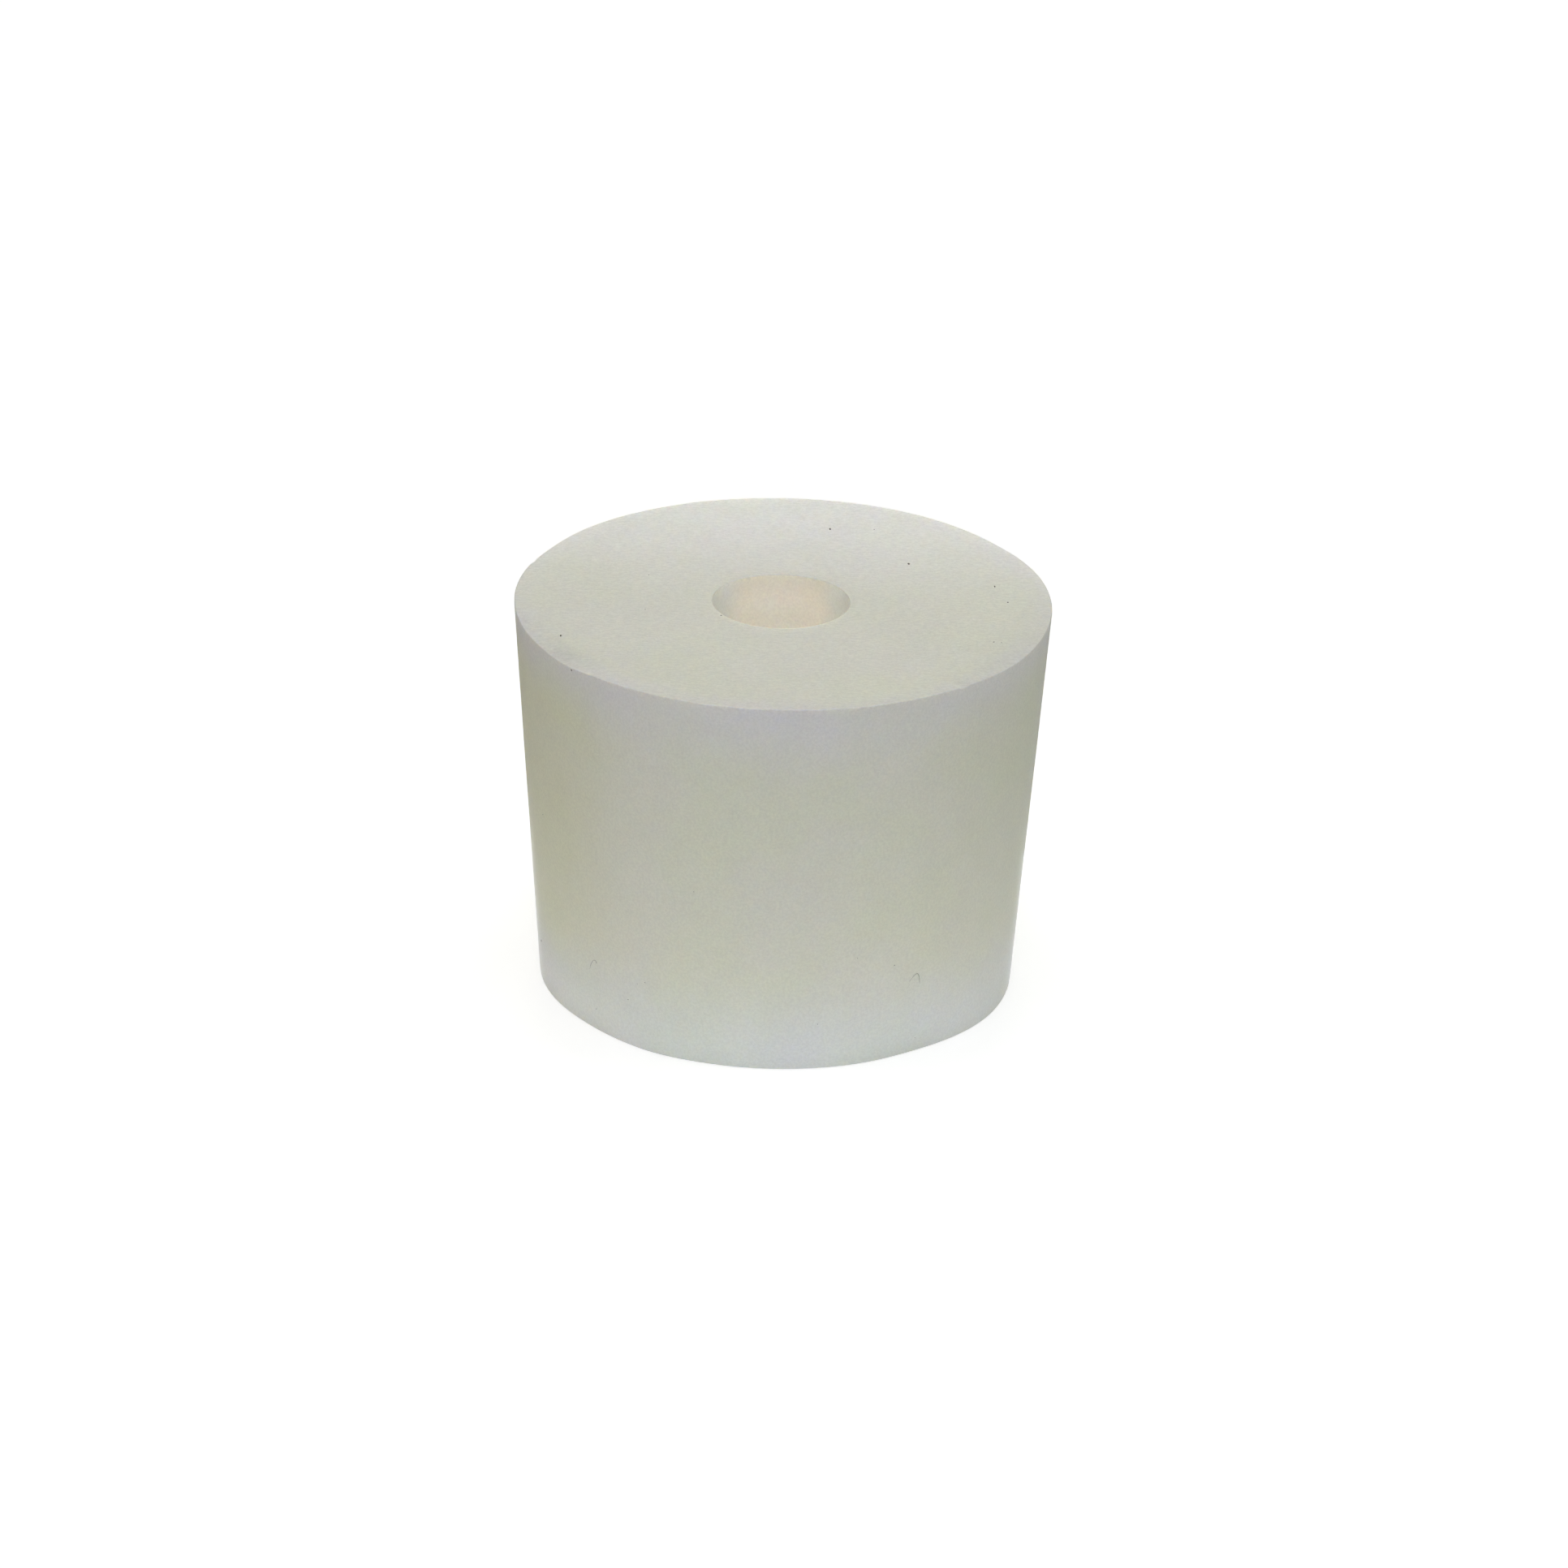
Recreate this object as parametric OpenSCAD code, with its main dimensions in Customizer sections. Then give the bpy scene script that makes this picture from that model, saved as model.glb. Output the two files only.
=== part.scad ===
// One-hole laboratory stopper, moulded in one piece from silicone rubber.
// It stands on its narrow end: the origin is the centre of that end, and +Z runs up the bore.
// The body is one revolved section whose corners are arcs tangent to both of their sides.

/* [Body] */
// Diameter of the wide end, measured to its sharp corner
top_d = 50; // [36:0.5:80]
// Diameter of the narrow end, which enters the neck first, measured to its sharp corner
bottom_d = 44.5; // [30:0.5:72]
// Height between the two flat ends
height = 37.5; // [15:0.5:60]

/* [Bore] */
// Diameter of the hole along the axis, which grips a tube or a stem
bore_d = 13; // [4:0.5:24]

/* [Edges] */
// Radius round the rim of the wide end
top_edge_r = 0.1; // [0.05:0.05:1]
// Radius round the rim of the narrow end
bottom_edge_r = 0.1; // [0.05:0.05:1]
// Radius round both mouths of the bore
bore_edge_r = 0.1; // [0.05:0.05:1]

/* [Hidden] */
rubber_colour = [0.79, 0.80, 0.75];
// Facets round the body, and round the full circle of an edge arc
body_fn = 180;
edge_fn = 48;

// Corners of the half section, each as [[radius, height], edge radius]
section_corners = [
    [[bore_d / 2, 0], bore_edge_r],
    [[bottom_d / 2, 0], bottom_edge_r],
    [[top_d / 2, height], top_edge_r],
    [[bore_d / 2, height], bore_edge_r]
];

function unit(v) = v / norm(v);

// Directions from corner i of a closed outline to the corner before it and the one after it
function to_last(corners, i) =
    unit(corners[(i + len(corners) - 1) % len(corners)][0] - corners[i][0]);
function to_next(corners, i) =
    unit(corners[(i + 1) % len(corners)][0] - corners[i][0]);

// Half of the angle inside corner i
function half_angle(corners, i) =
    acos(to_last(corners, i) * to_next(corners, i)) / 2;

// The two points where the arc of corner i touches its sides
function touch_points(corners, i) =
    let (reach = corners[i][1] / tan(half_angle(corners, i)))
    [
        corners[i][0] + reach * to_last(corners, i),
        corners[i][0] + reach * to_next(corners, i)
    ];

// The arc's centre lies on the line that halves the corner
function arc_centre(corners, i) =
    let (reach = corners[i][1] / sin(half_angle(corners, i)))
    corners[i][0] + reach * unit(to_last(corners, i) + to_next(corners, i));

// A closed convex outline whose corners are rounded by true arcs
module rounded_outline(corners) {
    polygon([for (i = [0 : len(corners) - 1]) each touch_points(corners, i)]);
    for (i = [0 : len(corners) - 1])
        translate(arc_centre(corners, i))
            circle(r = corners[i][1], $fn = edge_fn);
}

module stopper() {
    color(rubber_colour)
        rotate_extrude($fn = body_fn)
            rounded_outline(section_corners);
}

stopper();
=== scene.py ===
"""Looks of a one-hole laboratory stopper of milky, translucent silicone rubber.

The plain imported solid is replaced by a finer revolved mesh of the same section. It has the small faults
of a soft moulded part: ends that aren't quite round, a trimmed rim that droops in places, nicks, a bore
slightly off the axis, and a surface that is slightly wavy. Specks and fibres that cling to the rubber are
small solids of their own.
Everything is in metres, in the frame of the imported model.
"""

import math
import random

import bpy
from mathutils import Matrix, Vector, noise


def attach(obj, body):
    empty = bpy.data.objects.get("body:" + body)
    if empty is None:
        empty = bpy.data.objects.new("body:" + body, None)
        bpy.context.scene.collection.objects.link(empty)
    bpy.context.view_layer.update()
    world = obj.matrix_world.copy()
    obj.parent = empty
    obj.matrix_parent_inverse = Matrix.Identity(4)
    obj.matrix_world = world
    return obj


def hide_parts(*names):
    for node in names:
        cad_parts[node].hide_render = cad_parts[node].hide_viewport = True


MM = 0.001

# ---- the stopper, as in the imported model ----
TOP_R = 25.0 * MM
BOTTOM_R = 22.25 * MM
HEIGHT = 37.5 * MM
BORE_R = 6.5 * MM
EDGE_R = 0.1 * MM

# ---- how finely the section is revolved ----
AROUND = 576
ARC_STEPS = 6
BOTTOM_ROWS = 16
SIDE_ROWS = 44
TOP_ROWS = 28
BORE_ROWS = 24

# ---- small faults of the moulding ----
# Places where an end is out of round: angle from +X, half width (both in degrees), depth of the flat;
# a depth below zero is a slight bulge
WIDE_END_FLATS = [(38, 12, 0.19 * MM), (153, 9, 0.20 * MM), (270, 10, 0.12 * MM)]
NARROW_END_FLATS = [
    (217, 13, 0.22 * MM),
    (306, 12, 0.26 * MM),
    (240, 8, -0.11 * MM),
    (334, 13, -0.14 * MM),
]
FLAT_REACH = 11 * MM
# Places where the trimmed rim droops below the wide end
RIM_DROOPS = [
    (216, 9, 0.28 * MM),
    (200, 8, 0.14 * MM),
    (311.6, 1.4, 0.13 * MM),
    (330, 13, 0.19 * MM),
]
DROOP_REACH = 2.5 * MM
# Short nicks in the rim
RIM_NICKS = [(160.5, 1.0, 0.14 * MM), (227, 0.8, 0.06 * MM), (84, 0.7, 0.05 * MM)]
NICK_REACH = 0.7 * MM
RIM_WOBBLE = 0.03 * MM
RIM_WOBBLE_SIZE = 2.2 * MM
SKIN_WAVE = 0.03 * MM
SKIN_WAVE_SIZE = 6.5 * MM
END_WAVE = 0.012 * MM
END_WAVE_SIZE = 4.0 * MM
END_REACH = 0.5 * MM
LIP_WAVE = 0.01 * MM
LIP_WAVE_SIZE = 1.2 * MM
# The rim's wobble up and down has its own pattern, on this scale of places
DROP_PATTERN = 1.3
# The core pin stood this far off the axis, along X, and the soft mouth of the bore closes in a little
BORE_OFFSET = -0.20 * MM
MOUTH_PINCH = 0.12 * MM
MOUTH_REACH = 9 * MM
# The mesh starts this much inside the solid, so that dust on it stays inside its box
SKIN_DROP = 0.025 * MM

# ---- the photograph's camera: square frame, long lens, looking down at the stopper ----
PHOTO_PX = 1932
FOCAL_PX = 11508
SENSOR_MM = 36.0
CAMERA_DISTANCE = 873.75 * MM
CAMERA_ELEVATION = math.radians(24.36)
CAMERA_ROLL = math.radians(1.30)
AIM_RIGHT = 0.45 * MM
AIM_UP = 0.08 * MM

# ---- light ----
# Lamps inside the bore: height and power in mW; the top one makes up for the light lost at the mouth
BORE_LAMPS = [(3, 0.115), (8, 0.115), (13, 0.115), (18, 0.115), (23, 0.115), (28, 0.115), (33, 0.32)]
BORE_LAMP_COLOUR = (0.96, 0.90, 0.97)
BORE_LAMP_R = 2 * MM
# Studio lamps: name, azimuth and elevation in degrees, distance in metres, power in watts, colour
STUDIO_LAMPS = [
    ("overhead", 0, 90, 0.6, 1.55, (0.95, 0.98, 1.00)),
    ("front", 0, 10, 0.8, 2.70, (0.90, 0.90, 1.00)),
    ("back", 180, 12, 0.7, 1.35, (1.00, 0.96, 0.82)),
    ("left", -90, 30, 0.7, 0.46, (1.00, 0.85, 0.60)),
    ("right", 90, 30, 0.7, 0.50, (1.00, 0.98, 0.80)),
]
LAMP_D = 0.35
LAMP_AIM_HEIGHT = 20 * MM
# The floor is a white card that glows round the foot, and less where the stopper covers it
FLOOR_HALF = 3.0
FLOOR_HEIGHT = -0.05 * MM
CARD_GLOW = 0.42
CARD_R = 30 * MM
CARD_FADE_R = 65 * MM
COVERED_GLOW = 0.3
COVERED_R = (BOTTOM_R + 2 * MM, BOTTOM_R - 1 * MM)
FLOOR_TONE = 0.80
SEEN_FLOOR_GLOW = 0.58
SOFT_LEVEL = 0.03

# ---- colours, linear ----
BODY_COLOUR = (0.698, 0.706, 0.593, 1)
# painted light: the cool light on the wide end, painted in as a bluer tone
TOP_PAINTED_LIGHT_COLOUR = (0.700, 0.700, 0.668, 1)
# painted light: the light thrown up by the white floor onto the foot, painted in as a paler, bluer tone
FOOT_PAINTED_BOUNCE_COLOUR = (0.690, 0.718, 0.680, 1)
# painted light: a paler patch at the left of the foot
FOOT_LEFT_PAINTED_LIGHT_COLOUR = (0.750, 0.765, 0.720, 1)
# painted light: the light from behind that shows through the far part of the wide end, painted in as a
# paler tone
BACKLIGHT_PAINTED_COLOUR = (0.900, 0.903, 0.908, 1)
# painted light: the glow of light let through the rubber into the bore, painted in as a bright warm tone
BORE_PAINTED_GLOW_COLOUR = (0.975, 0.903, 0.800, 1)
# painted shade: the darker, greyer sides of the bore
BORE_SIDE_PAINTED_SHADE_COLOUR = (0.772, 0.806, 0.758, 1)
# painted shade: a duller tone at the mouth of the bore
BORE_MOUTH_PAINTED_SHADE_COLOUR = (0.800, 0.785, 0.650, 1)
# painted shade and light: the left and right of the side wall, painted darker where the front light falls
# off and yellower under warm side light
LEFT_PAINTED_SHADE_COLOUR = (0.681, 0.691, 0.488, 1)
RIGHT_PAINTED_SHADE_COLOUR = (0.673, 0.691, 0.550, 1)
OLIVE_CAST = (0.990, 1.000, 0.960, 1)
LAVENDER_CAST = (1.000, 0.993, 1.010, 1)
# painted shade: a darker ring at the lip of the bore
LIP_PAINTED_SHADE = (0.955, 0.965, 0.970, 1)

# ---- where each tint, painted light and painted shade lies: the place where it begins and the one where it is full ----
HIGH_Z = (HEIGHT - 9 * MM, HEIGHT)
NEAR_RIM_R = (TOP_R - 3 * MM, TOP_R)
HIGH_PAINTED_LIGHT_INSIDE = 0.35
FOOT_BOUNCE_Z = (11 * MM, 1 * MM)
ABOVE_FOOT_Z = (3 * MM, 12 * MM)
BELOW_RIM_Z = (HEIGHT - 0.2 * MM, HEIGHT - 6 * MM)
LEFT_SHADE_X = (-11 * MM, -25 * MM)
RIGHT_SHADE_X = (9 * MM, 25 * MM)
FOOT_LEFT_LIGHT_X = (-11 * MM, -18 * MM)
FOOT_LEFT_LIGHT_Z = (5 * MM, 1 * MM)
BACKLIGHT_Y = (-3 * MM, 28 * MM)
BACKLIGHT_SLANT = 0.08
BACKLIGHT_Z = (HEIGHT - 14 * MM, HEIGHT)
LIP_SHADE_R = (BORE_R + 0.6 * MM, BORE_R)
IN_BORE_R = (BORE_R + 0.05 * MM, BORE_R + 0.02 * MM)
IN_BORE_Z = (HEIGHT - 0.12 * MM, HEIGHT - 0.20 * MM)
MOUTH_SHADE_Z = (HEIGHT - 3.5 * MM, HEIGHT - 0.2 * MM)
BORE_SIDE_SHADE_X = (3.2 * MM, 5.6 * MM)
TRIMMED_Z = (HEIGHT - 0.45 * MM, HEIGHT - 0.35 * MM)

# ---- gloss ----
# The roughness varies a little; the wall has a dusty sheen low down, and is a little more matt high up
ROUGHNESS = (0.500, 0.535)
FOOT_SHEEN = 0.95
SHEEN_Z = (20 * MM, 11 * MM)
SHEEN_ROUGHNESS = 0.14
UPPER_MATTNESS = 0.07
UPPER_Z = (14 * MM, 26 * MM)
MATT_BELOW_RIM_Z = (HEIGHT - 0.1 * MM, HEIGHT - 2 * MM)
RUBBER_IOR = 1.41
SCATTER_RADIUS = (1.0, 0.8, 0.5)
SCATTER_SCALE = 0.8 * MM

# ---- dust that clings to the rubber ----
# Grains on the wide end: place (x, y) and size (across, along the view), in mm
TOP_GRAINS = [
    ((-20.4, -9.25), (0.18, 0.36)),
    ((-5.6, -3.8), (0.18, 0.20)),
    ((4.35, 17.5), (0.18, 0.55)),
    ((8.5, 17.6), (0.09, 0.18)),
    ((11.9, 9.6), (0.23, 0.48)),
    ((19.75, 4.55), (0.15, 0.38)),
    ((20.9, 0.85), (0.15, 0.28)),
    ((19.5, -8.5), (0.20, 0.10)),
    ((20.2, -8.6), (0.12, 0.10)),
    ((-12.6, 5.5), (0.09, 0.18)),
    ((-12.7, -2.7), (0.08, 0.16)),
]
# One dark grain sits on the wall, just under the rim: angle from +X in degrees, height in mm, and size
RIM_GRAIN = ((219.7, 36.95), (0.24, 0.24))
# Grains on the side wall: place (angle from +X in degrees, height in mm) and size in mm
SIDE_GRAINS = [
    ((223.2, 7.3), (0.12, 0.12)),
    ((238.3, 7.2), (0.14, 0.08)),
    ((236.1, 6.8), (0.09, 0.08)),
    ((233.2, 4.8), (0.15, 0.09)),
    ((221.9, 2.2), (0.09, 0.12)),
    ((193.2, 4.5), (0.24, 0.26)),
    ((289.1, 11.3), (0.10, 0.10)),
    ((298.6, 9.9), (0.10, 0.15)),
    ((280.3, 4.7), (0.09, 0.09)),
    ((306.4, 1.4), (0.09, 0.08)),
    ((202.6, 19.3), (0.10, 0.12)),
    ((251.2, 17.9), (0.11, 0.10)),
]
# Hairs on the side wall: the (angle, height) points that each one bends through
SIDE_HAIRS = [
    [(303.1, 7.75), (304.2, 8.25), (305.2, 8.40), (305.8, 7.95), (306.1, 7.25)],
    [(220.6, 6.25), (221.1, 6.80), (222.2, 7.40), (223.0, 7.45), (223.3, 7.30)],
]
HAIR_R = 0.018 * MM
HAIR_STEPS = 6
HAIR_SIDES = 6
GRAIN_SIDES = 9
GRAIN_RISE = 0.026 * MM
# Finer dust, scattered where the photograph doesn't look: number, angles, heights and sizes in mm
LOOSE_GRAINS = 40
LOOSE_GRAIN_ANGLES = (5, 175)
LOOSE_GRAIN_HEIGHTS = (1.5, 36)
LOOSE_GRAIN_WIDTHS = (0.07, 0.14)
LOOSE_GRAIN_LENGTHS = (0.07, 0.16)
LOOSE_HAIRS = 5
LOOSE_HAIR_ANGLES = (10, 170)
LOOSE_HAIR_HEIGHTS = (3, 33)
LOOSE_HAIR_BEND = 1.5
SEED = 20
DARK_DUST = ((0.035, 0.032, 0.026, 1), (0.16, 0.15, 0.12, 1))
PALE_DUST = ((0.17, 0.165, 0.14, 1), (0.34, 0.33, 0.29, 1))


# ---- camera ----
def make_camera():
    centre = Vector((0, 0, HEIGHT / 2))
    back = Vector((0, -math.cos(CAMERA_ELEVATION), math.sin(CAMERA_ELEVATION)))
    right = Vector((1, 0, 0))
    up = back.cross(right)
    place = centre + CAMERA_DISTANCE * back
    aim = centre + AIM_RIGHT * right + AIM_UP * up
    data = bpy.data.cameras.new("photo_camera")
    data.sensor_width = SENSOR_MM
    data.lens = SENSOR_MM * FOCAL_PX / PHOTO_PX
    camera = bpy.data.objects.new("photo_camera", data)
    bpy.context.scene.collection.objects.link(camera)
    turn = (aim - place).to_track_quat("-Z", "Y").to_matrix().to_4x4()
    camera.matrix_world = Matrix.Translation(place) @ turn @ Matrix.Rotation(CAMERA_ROLL, 4, "Z")
    bpy.context.scene.camera = camera


# ---- small helpers of shape ----
def smooth_step(value, low, high):
    """0 at low, 1 at high, with a smooth change between; high may be the smaller."""
    t = min(max((value - low) / (high - low), 0), 1)
    return t * t * (3 - 2 * t)


def hump(angle, centre_deg, half_width_deg, depth):
    """A smooth hump of that depth round one angle of the stopper."""
    away = math.degrees(angle) - centre_deg
    away = (away + 180) % 360 - 180
    return depth * math.exp(-((away / half_width_deg) ** 2))


def humps(angle, rows):
    return sum(hump(angle, *row) for row in rows)


def inward_noise(place, size, depth):
    """Between 0 and depth, changing over about that size."""
    return depth * (0.5 + 0.5 * noise.noise(place / size))


def side_radius(z):
    return BOTTOM_R + (TOP_R - BOTTOM_R) * z / HEIGHT


def worn(angle, r, z):
    """The point of the moulded surface for a point of the ideal section, with all the faults."""
    place = Vector((r * math.cos(angle), r * math.sin(angle), z))
    outside = smooth_step(r, BORE_R, side_radius(z))
    near_top = smooth_step(z, HEIGHT - FLAT_REACH, HEIGHT)
    near_bottom = smooth_step(z, FLAT_REACH, 0)
    inward = near_top * humps(angle, WIDE_END_FLATS) + near_bottom * humps(angle, NARROW_END_FLATS)
    inward += SKIN_DROP + inward_noise(place, SKIN_WAVE_SIZE, SKIN_WAVE)
    rim = smooth_step(HEIGHT - z, NICK_REACH, 0) * smooth_step(side_radius(z) - r, NICK_REACH, 0)
    foot = smooth_step(z, NICK_REACH, 0)
    inward += rim * humps(angle, RIM_NICKS)
    inward += (rim + foot) * inward_noise(place, RIM_WOBBLE_SIZE, RIM_WOBBLE)
    on_end = smooth_step(HEIGHT - z, END_REACH, 0)
    close_to_rim = smooth_step(side_radius(z) - r, DROOP_REACH, 0)
    drop = SKIN_DROP + inward_noise(place, END_WAVE_SIZE, END_WAVE)
    drop += rim * inward_noise(place * DROP_PATTERN, RIM_WOBBLE_SIZE, RIM_WOBBLE)
    drop += close_to_rim * humps(angle, RIM_DROOPS)
    lip = smooth_step(r, BORE_R + NICK_REACH, BORE_R) * inward_noise(place, LIP_WAVE_SIZE, LIP_WAVE)
    r -= outside * inward - lip * on_end
    z -= on_end * (drop + lip)
    r -= (1 - outside) * smooth_step(HEIGHT - z, MOUTH_REACH, 0) * MOUTH_PINCH
    off_axis = (1 - outside) * BORE_OFFSET
    return Vector((r * math.cos(angle) + off_axis, r * math.sin(angle), z))


# ---- the body of the stopper ----
def arc(corner, before, after, radius):
    """Points of the arc that rounds a corner, from the side towards before to the one towards after."""
    a, b = (before - corner).normalized(), (after - corner).normalized()
    half = a.angle(b) / 2
    centre = corner + (a + b).normalized() * radius / math.sin(half)
    start = corner + a * radius / math.tan(half) - centre
    end = corner + b * radius / math.tan(half) - centre
    sweep = math.pi - 2 * half
    points = []
    for i in range(ARC_STEPS + 1):
        t = i / ARC_STEPS
        from_centre = start * math.sin((1 - t) * sweep) + end * math.sin(t * sweep)
        points.append(centre + from_centre / math.sin(sweep))
    return points


def section():
    """The closed outline of the wall: (radius, height) from the bore's foot, out, up and back."""
    corners = [
        (Vector((BORE_R, 0)), EDGE_R, BOTTOM_ROWS),
        (Vector((BOTTOM_R, 0)), EDGE_R, SIDE_ROWS),
        (Vector((TOP_R, HEIGHT)), EDGE_R, TOP_ROWS),
        (Vector((BORE_R, HEIGHT)), EDGE_R, BORE_ROWS),
    ]
    arcs = [arc(c, corners[i - 1][0], corners[(i + 1) % 4][0], r) for i, (c, r, rows) in enumerate(corners)]
    outline = []
    for i, points in enumerate(arcs):
        rows = corners[i][2]
        following = arcs[(i + 1) % 4][0]
        outline += points
        outline += [points[-1].lerp(following, k / rows) for k in range(1, rows)]
    return outline


def new_piece(name, verts, faces, material):
    mesh = bpy.data.meshes.new(name)
    mesh.from_pydata(verts, [], faces)
    mesh.validate()
    mesh.polygons.foreach_set("use_smooth", [True] * len(mesh.polygons))
    mesh.materials.append(material)
    piece = bpy.data.objects.new(name, mesh)
    bpy.context.scene.collection.objects.link(piece)
    return piece


def make_stopper(material):
    outline = section()
    rows = len(outline)
    verts = []
    for j in range(AROUND):
        angle = 2 * math.pi * j / AROUND
        verts += [worn(angle, p.x, p.y) for p in outline]
    faces = []
    for j in range(AROUND):
        a, b = j * rows, (j + 1) % AROUND * rows
        for i in range(rows):
            k = (i + 1) % rows
            faces.append((a + i, b + i, b + k, a + k))
    return new_piece("stopper_body", verts, faces, material)


# ---- dust ----
def on_wide_end(x, y):
    """The moulded surface above (x, y), in mm, and the way out of it."""
    return worn(math.atan2(y, x), math.hypot(x, y) * MM, HEIGHT), Vector((0, 0, 1))


def on_side(angle_deg, z):
    """The side wall at an angle and a height in mm, and the way out of it."""
    angle = math.radians(angle_deg)
    taper = (TOP_R - BOTTOM_R) / HEIGHT
    out = Vector((math.cos(angle), math.sin(angle), -taper)).normalized()
    return worn(angle, side_radius(z * MM), z * MM), out


class Dust:
    """Closed little solids gathered into one mesh."""

    def __init__(self):
        self.verts = []
        self.faces = []

    def rings(self, rings, first, last):
        """A closed skin through rings of equally many points, with a point at each end."""
        sides = len(rings[0])
        base = len(self.verts)
        self.verts += [first] + [p for ring in rings for p in ring] + [last]
        end = len(self.verts) - 1
        for k in range(sides):
            n = (k + 1) % sides
            self.faces.append((base, base + 1 + n, base + 1 + k))
            for j in range(len(rings) - 1):
                a, b = base + 1 + j * sides, base + 1 + (j + 1) * sides
                self.faces.append((a + k, a + n, b + n, b + k))
            top = end - sides
            self.faces.append((end, top + k, top + n))

    def grain(self, spot, size, rng):
        """An irregular flat grain, sunk a little into the rubber."""
        place, out = spot
        along = Vector((0, 1, 0)) if out.z > 0.5 else Vector((0, 0, 1))
        across = along.cross(out).normalized()
        along = out.cross(across)
        reach = [rng.uniform(0.7, 1.15) for _ in range(GRAIN_SIDES)]
        rings = []
        for level, spread in ((-0.7, 0.6), (0.0, 1.0), (0.75, 0.65)):
            ring = []
            for k in range(GRAIN_SIDES):
                a = 2 * math.pi * k / GRAIN_SIDES
                flat = across * math.cos(a) * size[0] / 2 + along * math.sin(a) * size[1] / 2
                ring.append(place + flat * MM * spread * reach[k] + out * level * GRAIN_RISE)
            rings.append(ring)
        self.rings(rings, place - out * GRAIN_RISE, place + out * GRAIN_RISE)

    def hair(self, spots):
        """A tapered hair that lies on the rubber along a row of places."""
        rings = []
        for i, (place, out) in enumerate(spots):
            before, after = spots[max(i - 1, 0)][0], spots[min(i + 1, len(spots) - 1)][0]
            way = (after - before).normalized()
            across = way.cross(out).normalized()
            radius = HAIR_R * (0.35 + 0.65 * math.sin(math.pi * (i + 0.5) / len(spots)))
            middle = place + out * 0.5 * radius
            ring = []
            for k in range(HAIR_SIDES):
                a = 2 * math.pi * k / HAIR_SIDES
                ring.append(middle + (out * math.cos(a) + across * math.sin(a)) * radius)
            rings.append(ring)
        self.rings(rings, spots[0][0], spots[-1][0])


def rounded(points, steps):
    """More points on a smooth curve through a row of (angle, height) points."""
    row = [points[0]] + points + [points[-1]]
    curve = []
    for i in range(1, len(row) - 2):
        a, b, c, d = (Vector(row[i + k]) for k in (-1, 0, 1, 2))
        for k in range(steps):
            t = k / steps
            bend = (2 * a - 5 * b + 4 * c - d) * t * t + (3 * b - a - 3 * c + d) * t * t * t
            curve.append(b + 0.5 * ((c - a) * t + bend))
    return curve + [Vector(points[-1])]


def make_dust():
    rng = random.Random(SEED)
    dark_grains, pale_grains, hairs = Dust(), Dust(), Dust()
    for (x, y), size in TOP_GRAINS:
        dark_grains.grain(on_wide_end(x, y), size, rng)
    dark_grains.grain(on_side(*RIM_GRAIN[0]), RIM_GRAIN[1], rng)
    for (angle, z), size in SIDE_GRAINS:
        pale_grains.grain(on_side(angle, z), size, rng)
    for _ in range(LOOSE_GRAINS):
        spot = on_side(rng.uniform(*LOOSE_GRAIN_ANGLES), rng.uniform(*LOOSE_GRAIN_HEIGHTS))
        size = rng.uniform(*LOOSE_GRAIN_WIDTHS), rng.uniform(*LOOSE_GRAIN_LENGTHS)
        pale_grains.grain(spot, size, rng)
    for row in SIDE_HAIRS:
        hairs.hair([on_side(*p) for p in rounded(row, HAIR_STEPS)])
    for _ in range(LOOSE_HAIRS):
        angle, z = rng.uniform(*LOOSE_HAIR_ANGLES), rng.uniform(*LOOSE_HAIR_HEIGHTS)
        row = [(angle + rng.uniform(-LOOSE_HAIR_BEND, LOOSE_HAIR_BEND), z + 0.5 * k) for k in range(4)]
        hairs.hair([on_side(*p) for p in rounded(row, HAIR_STEPS)])
    dark_dust = dust_material("dark_dust", *DARK_DUST)
    pale_dust = dust_material("pale_dust", *PALE_DUST)
    return [
        new_piece("dust_dark_grains", dark_grains.verts, dark_grains.faces, dark_dust),
        new_piece("dust_pale_grains", pale_grains.verts, pale_grains.faces, pale_dust),
        new_piece("dust_hairs", hairs.verts, hairs.faces, pale_dust),
    ]


# ---- node helpers ----
def add_node(tree, kind, inputs=None, **settings):
    """A new shader node; an input is set to a value or linked to another node's output."""
    made = tree.nodes.new("ShaderNode" + kind)
    for name, value in settings.items():
        setattr(made, name, value)
    for name, value in (inputs or {}).items():
        if isinstance(value, bpy.types.NodeSocket):
            tree.links.new(value, made.inputs[name])
        else:
            made.inputs[name].default_value = value
    return made


def maths(tree, operation, a, b=0.0):
    return add_node(tree, "Math", {0: a, 1: b}, operation=operation).outputs[0]


def ramp(tree, value, low, high, to_low=0.0, to_high=1.0):
    """A smooth change from to_low at low to to_high at high."""
    inputs = {"Value": value, "From Min": low, "From Max": high, "To Min": to_low, "To Max": to_high}
    return add_node(tree, "MapRange", inputs, interpolation_type="SMOOTHSTEP").outputs["Result"]


def blend(tree, amount, first, second, kind="MIX"):
    inputs = {"Fac": amount, "Color1": first, "Color2": second}
    return add_node(tree, "MixRGB", inputs, blend_type=kind).outputs["Color"]


def overlap(tree, first, *others):
    """Masks multiplied together."""
    for other in others:
        first = maths(tree, "MULTIPLY", first, other)
    return first


def shaded(tree, amount, colour, shade):
    """The colour multiplied by a shade, as far as amount goes from 0 to 1."""
    return blend(tree, amount, colour, blend(tree, 1.0, colour, shade, "MULTIPLY"))


def clouds(tree, place, size, detail=2.0, rough=0.5):
    """Noise from 0 to 1 whose patches are about that size."""
    inputs = {"Vector": place, "Scale": 1 / size, "Detail": detail, "Roughness": rough}
    return add_node(tree, "TexNoise", inputs).outputs["Fac"]


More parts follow.
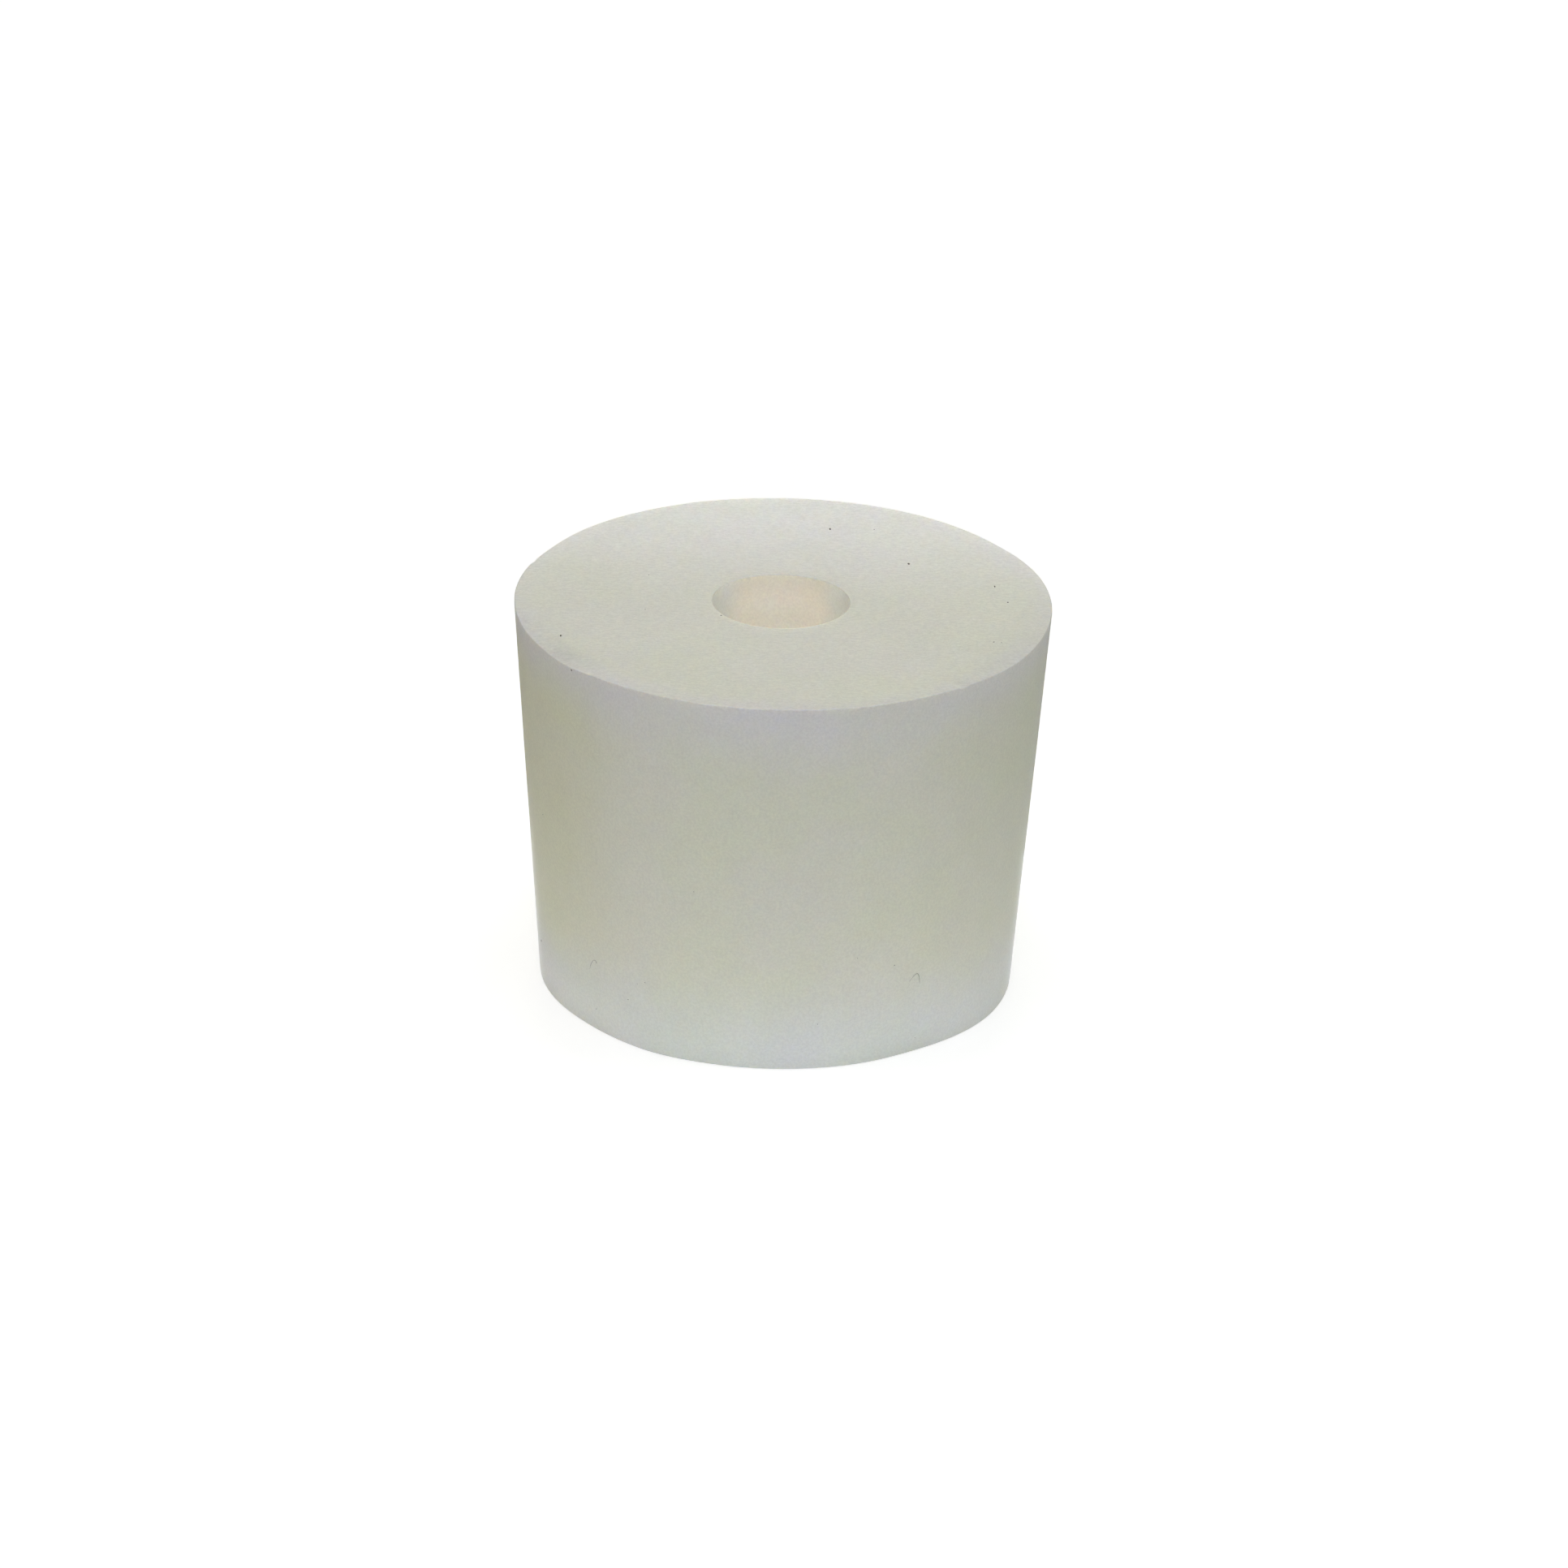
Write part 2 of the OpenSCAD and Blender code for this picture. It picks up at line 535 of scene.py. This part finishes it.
def stretched(tree, place, x, y, z):
    return add_node(tree, "VectorMath", {0: place, 1: (x, y, z)}, operation="MULTIPLY").outputs["Vector"]


def new_material(name):
    material = bpy.data.materials.new(name)
    material.use_nodes = True
    return material, material.node_tree, material.node_tree.nodes["Principled BSDF"]


# ---- materials ----
def wall_colour(tree, parts, radius):
    """The body's colour with painted light and shade that follow the height and the side, outside the bore.
    """
    # painted light: the two ends are painted bluer than the middle, for the cool light on the wide end and
    # the light thrown up by the floor at the foot
    near_rim = ramp(tree, radius, *NEAR_RIM_R, HIGH_PAINTED_LIGHT_INSIDE, 1)
    colour = blend(tree, overlap(tree, ramp(tree, parts["Z"], *HIGH_Z), near_rim), BODY_COLOUR, TOP_PAINTED_LIGHT_COLOUR)
    colour = blend(tree, ramp(tree, parts["Z"], *FOOT_BOUNCE_Z), colour, FOOT_PAINTED_BOUNCE_COLOUR)
    # painted shade and light: the side wall is painted darker towards its left and right, where the front
    # light falls off, and yellower there under warm side light, on the left more than on the right
    wall = overlap(tree, ramp(tree, parts["Z"], *ABOVE_FOOT_Z), ramp(tree, parts["Z"], *BELOW_RIM_Z))
    colour = blend(tree, overlap(tree, wall, ramp(tree, parts["X"], *LEFT_SHADE_X)), colour, LEFT_PAINTED_SHADE_COLOUR)
    colour = blend(tree, overlap(tree, wall, ramp(tree, parts["X"], *RIGHT_SHADE_X)), colour, RIGHT_PAINTED_SHADE_COLOUR)
    # painted light: the left of the foot is painted palest
    foot_left_light = overlap(tree, ramp(tree, parts["X"], *FOOT_LEFT_LIGHT_X), ramp(tree, parts["Z"], *FOOT_LEFT_LIGHT_Z))
    colour = blend(tree, foot_left_light, colour, FOOT_LEFT_PAINTED_LIGHT_COLOUR)
    # painted light: the far part of the wide end is painted the palest of that end, as light from behind
    # shows through it, most of all on the right
    far = maths(tree, "ADD", parts["Y"], maths(tree, "MULTIPLY", parts["X"], BACKLIGHT_SLANT))
    backlit_far_side = overlap(tree, ramp(tree, far, *BACKLIGHT_Y), ramp(tree, parts["Z"], *BACKLIGHT_Z))
    colour = blend(tree, backlit_far_side, colour, BACKLIGHT_PAINTED_COLOUR)
    # painted shade: the lip of the bore is painted a little darker than the wide end round it
    return shaded(tree, ramp(tree, radius, *LIP_SHADE_R), colour, LIP_PAINTED_SHADE)


def bore_painted_light_and_shade(tree, parts):
    """Painted light and shade in the bore: a bright warm glow on its near and far walls for the light the
    rubber lets through, and painted shade that makes its mouth duller and its sides greyer.
    """
    warm = blend(tree, ramp(tree, parts["Z"], *MOUTH_SHADE_Z), BORE_PAINTED_GLOW_COLOUR, BORE_MOUTH_PAINTED_SHADE_COLOUR)
    off_middle = maths(tree, "ABSOLUTE", maths(tree, "SUBTRACT", parts["X"], BORE_OFFSET))
    return blend(tree, ramp(tree, off_middle, *BORE_SIDE_SHADE_X), warm, BORE_SIDE_PAINTED_SHADE_COLOUR)


def mottled(tree, colour, place, parts):
    """The colour with soft casts, patches, fine grain and, on the trimmed wide end, streaks across."""
    cast = ramp(tree, clouds(tree, place, 11 * MM), 0.35, 0.65)
    colour = blend(tree, 1.0, colour, blend(tree, cast, OLIVE_CAST, LAVENDER_CAST), "MULTIPLY")
    patches = ramp(tree, clouds(tree, place, 2.6 * MM, 3.0), 0.3, 0.7, 0.988, 1.009)
    grain = ramp(tree, clouds(tree, place, 0.24 * MM, 2.0, 0.7), 0.25, 0.75, 0.940, 1.042)
    colour = blend(tree, 1.0, colour, patches, "MULTIPLY")
    colour = blend(tree, 1.0, colour, grain, "MULTIPLY")
    streaks = clouds(tree, stretched(tree, place, 0.48, 1.0, 1.0), 0.32 * MM, 2.0, 0.65)
    streaks = ramp(tree, streaks, 0.28, 0.72, 0.942, 1.044)
    return shaded(tree, ramp(tree, parts["Z"], *TRIMMED_Z), colour, streaks)


def silicone_colour(tree, place):
    parts = add_node(tree, "SeparateXYZ", {"Vector": place}).outputs
    across = stretched(tree, place, 1, 1, 0)
    radius = add_node(tree, "VectorMath", {0: across}, operation="LENGTH").outputs["Value"]
    from_pin = add_node(tree, "VectorMath", {0: across, 1: (BORE_OFFSET, 0, 0)}, operation="DISTANCE")
    in_bore = ramp(tree, from_pin.outputs["Value"], *IN_BORE_R)
    in_bore = overlap(tree, in_bore, ramp(tree, parts["Z"], *IN_BORE_Z))
    colour = blend(tree, in_bore, wall_colour(tree, parts, radius), bore_painted_light_and_shade(tree, parts))
    return mottled(tree, colour, place, parts)


def silicone_height(tree, place):
    """Fine matt grain of the mould, with faint drag lines across the trimmed end."""
    grain = clouds(tree, place, 0.28 * MM, 3.0, 0.6)
    pores = ramp(tree, clouds(tree, place, 0.9 * MM, 1.0), 0.28, 0.20)
    drag = clouds(tree, stretched(tree, place, 0.12, 1.0, 0.5), 0.5 * MM, 2.0)
    rough = maths(tree, "ADD", grain, maths(tree, "MULTIPLY", drag, 0.6))
    return maths(tree, "SUBTRACT", rough, maths(tree, "MULTIPLY", pores, 0.8))


def milky_silicone():
    material, tree, shader = new_material("milky_silicone")
    place = add_node(tree, "TexCoord").outputs["Object"]
    height = add_node(tree, "SeparateXYZ", {"Vector": place}).outputs["Z"]
    tree.links.new(silicone_colour(tree, place), shader.inputs["Base Color"])
    dull = ramp(tree, clouds(tree, place, 3.5 * MM, 3.0), 0.3, 0.7, *ROUGHNESS)
    upper = ramp(tree, height, *UPPER_Z, 0, UPPER_MATTNESS)
    upper = overlap(tree, upper, ramp(tree, height, *MATT_BELOW_RIM_Z))
    tree.links.new(maths(tree, "ADD", dull, upper), shader.inputs["Roughness"])
    bump = {"Height": silicone_height(tree, place), "Strength": 0.35, "Distance": 0.03 * MM}
    tree.links.new(add_node(tree, "Bump", bump).outputs["Normal"], shader.inputs["Normal"])
    tree.links.new(ramp(tree, height, *SHEEN_Z, 0, FOOT_SHEEN), shader.inputs["Sheen Weight"])
    shader.inputs["Sheen Roughness"].default_value = SHEEN_ROUGHNESS
    shader.inputs["IOR"].default_value = RUBBER_IOR
    shader.subsurface_method = "RANDOM_WALK"
    shader.inputs["Subsurface Weight"].default_value = 1.0
    shader.inputs["Subsurface Radius"].default_value = SCATTER_RADIUS
    shader.inputs["Subsurface Scale"].default_value = SCATTER_SCALE
    return material


def dust_material(name, dark, pale):
    material, tree, shader = new_material(name)
    place = add_node(tree, "TexCoord").outputs["Object"]
    shade = ramp(tree, clouds(tree, place, 0.25 * MM, 2.0), 0.3, 0.7)
    tree.links.new(blend(tree, shade, dark, pale), shader.inputs["Base Color"])
    tree.links.new(ramp(tree, shade, 0, 1, 0.75, 0.95), shader.inputs["Roughness"])
    bump = {"Height": clouds(tree, place, 0.06 * MM), "Strength": 0.4, "Distance": 0.02 * MM}
    tree.links.new(add_node(tree, "Bump", bump).outputs["Normal"], shader.inputs["Normal"])
    return material


# ---- stage ----
def new_lamp(name, kind, watts, colour, place):
    data = bpy.data.lights.new(name, kind)
    data.energy = watts
    data.color = colour
    lamp = bpy.data.objects.new(name, data)
    bpy.context.scene.collection.objects.link(lamp)
    lamp.location = place
    lamp.visible_camera = False
    return lamp


def studio_light(name, azimuth, elevation, distance, power, colour):
    """A soft round lamp; azimuth 0 is on the camera's side and 90 on the right."""
    a, e = math.radians(azimuth), math.radians(elevation)
    away = Vector((math.sin(a) * math.cos(e), -math.cos(a) * math.cos(e), math.sin(e)))
    aim = Vector((0, 0, LAMP_AIM_HEIGHT))
    lamp = new_lamp(name, "AREA", power, colour, aim + distance * away)
    lamp.data.shape = "DISK"
    lamp.data.size = LAMP_D
    lamp.rotation_euler = (-away).to_track_quat("-Z", "Y").to_euler()


def seen_directly(tree):
    """1 for what the camera sees, straight or in gloss or glass, and 0 for soft light."""
    path = add_node(tree, "LightPath").outputs
    seen = maths(tree, "MAXIMUM", path["Is Camera Ray"], path["Is Glossy Ray"])
    return maths(tree, "MAXIMUM", seen, path["Is Transmission Ray"])


def make_floor():
    half, z = FLOOR_HALF, FLOOR_HEIGHT
    mesh = bpy.data.meshes.new("floor")
    corners = [(-half, -half, z), (half, -half, z), (half, half, z), (-half, half, z)]
    mesh.from_pydata(corners, [], [(0, 1, 2, 3)])
    floor = bpy.data.objects.new("floor", mesh)
    bpy.context.scene.collection.objects.link(floor)
    material = bpy.data.materials.new("white_card")
    material.use_nodes = True
    tree = material.node_tree
    tree.nodes.clear()
    place = add_node(tree, "TexCoord").outputs["Object"]
    from_axis = add_node(tree, "VectorMath", {0: place}, operation="LENGTH").outputs["Value"]
    card = ramp(tree, from_axis, CARD_FADE_R, CARD_R, 0, CARD_GLOW)
    covered = ramp(tree, from_axis, *COVERED_R, 1, COVERED_GLOW)
    card = maths(tree, "MULTIPLY", card, covered)
    glow = maths(tree, "MAXIMUM", card, maths(tree, "MULTIPLY", seen_directly(tree), SEEN_FLOOR_GLOW))
    tone = (FLOOR_TONE, FLOOR_TONE, FLOOR_TONE, 1)
    diffuse = add_node(tree, "BsdfDiffuse", {"Color": tone}).outputs[0]
    light = add_node(tree, "Emission", {"Strength": glow}).outputs[0]
    both = add_node(tree, "AddShader", {0: diffuse, 1: light}).outputs[0]
    add_node(tree, "OutputMaterial", {"Surface": both})
    mesh.materials.append(material)


def make_world():
    world = bpy.data.worlds.new("studio")
    bpy.context.scene.world = world
    world.use_nodes = True
    tree = world.node_tree
    tree.nodes.clear()
    level = ramp(tree, seen_directly(tree), 0, 1, SOFT_LEVEL, 1.0)
    light = add_node(tree, "Background", {"Strength": level}).outputs[0]
    add_node(tree, "OutputWorld", {"Surface": light})


def make_bore_glow():
    """Weak lamps along the bore, for the light that the real rubber lets through to it."""
    for z, milliwatts in BORE_LAMPS:
        lamp = new_lamp("bore_glow", "POINT", milliwatts * 0.001, BORE_LAMP_COLOUR, (0, 0, z * MM))
        lamp.data.shadow_soft_size = BORE_LAMP_R
        lamp.visible_glossy = False


def make_lights():
    for lamp in STUDIO_LAMPS:
        studio_light(*lamp)
    make_bore_glow()


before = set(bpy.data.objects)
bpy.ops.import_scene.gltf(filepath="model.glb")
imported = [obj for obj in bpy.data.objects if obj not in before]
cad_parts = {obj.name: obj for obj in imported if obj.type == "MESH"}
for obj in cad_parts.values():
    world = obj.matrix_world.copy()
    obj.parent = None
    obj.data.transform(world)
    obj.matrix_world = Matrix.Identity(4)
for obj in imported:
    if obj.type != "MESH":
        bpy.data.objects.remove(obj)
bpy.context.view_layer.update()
bpy.context.scene.view_settings.view_transform = "Standard"
make_camera()
make_world()
make_floor()
make_lights()

body = make_stopper(milky_silicone())
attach(body, "root")
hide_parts("stopper")
for piece in make_dust():
    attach(piece, "root")
